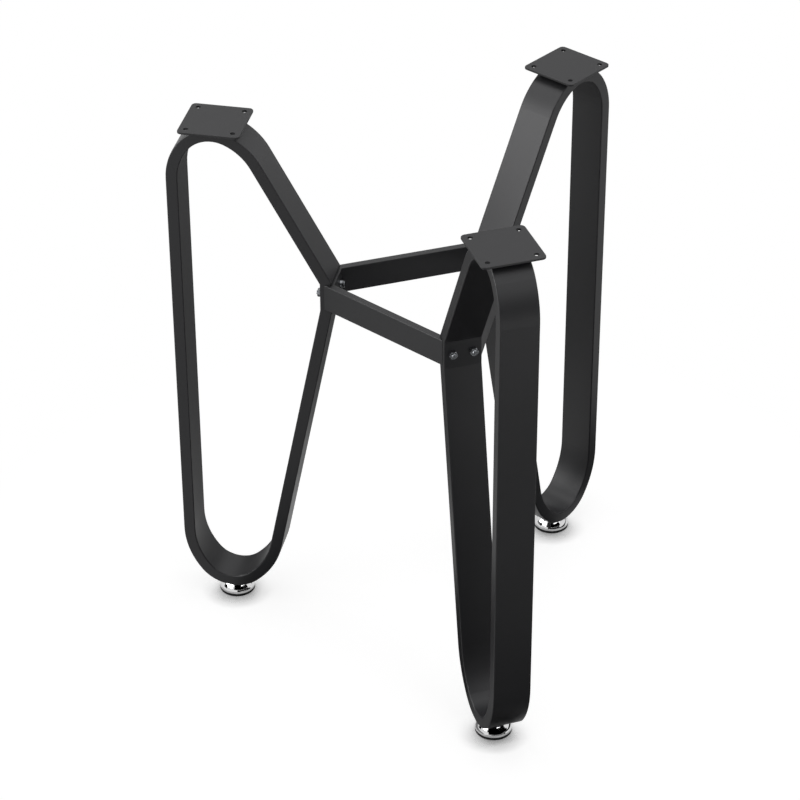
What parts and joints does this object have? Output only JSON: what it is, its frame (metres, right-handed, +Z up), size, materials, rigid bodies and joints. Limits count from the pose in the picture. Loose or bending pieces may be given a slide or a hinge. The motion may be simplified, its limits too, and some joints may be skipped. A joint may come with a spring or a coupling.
{
  "type": "tripod table base",
  "caption": "Black steel tripod base for a table top: looped flat-tube legs bolted to a triangle of bars, with screw plates above and chrome levelling feet below.",
  "frame": {"origin": "on the floor, on the tripod's axis, midway between the three legs", "axes": "+Z up; -Y along the front leg; the other two legs at 30 and 150 degrees from +X"},
  "size_m": [0.599, 0.5198, 0.725],
  "materials": {
    "black_coat": "satin powder coat",
    "chrome": "polished",
    "zinc_plate": "zinc plated",
    "black_pad": "matte"
  },
  "bodies": {
    "frame": {"front_leg_loop": "black_coat", "front_top_plate": "black_coat", "front_corner_plate": "black_coat", "right_leg_loop": "black_coat", "right_top_plate": "black_coat", "right_corner_plate": "black_coat", "left_leg_loop": "black_coat", "left_top_plate": "black_coat", "left_corner_plate": "black_coat", "front_left_stretcher": "black_coat", "front_right_stretcher": "black_coat", "rear_stretcher": "black_coat", "clamp_bolts": "zinc_plate", "clamp_nuts": "zinc_plate", "foot_inserts": "zinc_plate"},
    "front_foot": {"front_foot_cap": "chrome", "front_foot_stud": "zinc_plate", "front_foot_pad": "black_pad"},
    "right_foot": {"right_foot_cap": "chrome", "right_foot_stud": "zinc_plate", "right_foot_pad": "black_pad"},
    "left_foot": {"left_foot_cap": "chrome", "left_foot_stud": "zinc_plate", "left_foot_pad": "black_pad"}
  },
  "joints": [
    {"name": "front_foot_screw", "type": "slide", "parent": "frame", "child": "front_foot", "axis": [0, 0, -1], "range_m": [0, 0.006]},
    {"name": "right_foot_screw", "type": "slide", "parent": "frame", "child": "right_foot", "axis": [0, 0, -1], "range_m": [0, 0.006]},
    {"name": "left_foot_screw", "type": "slide", "parent": "frame", "child": "left_foot", "axis": [0, 0, -1], "range_m": [0, 0.006]}
  ]
}
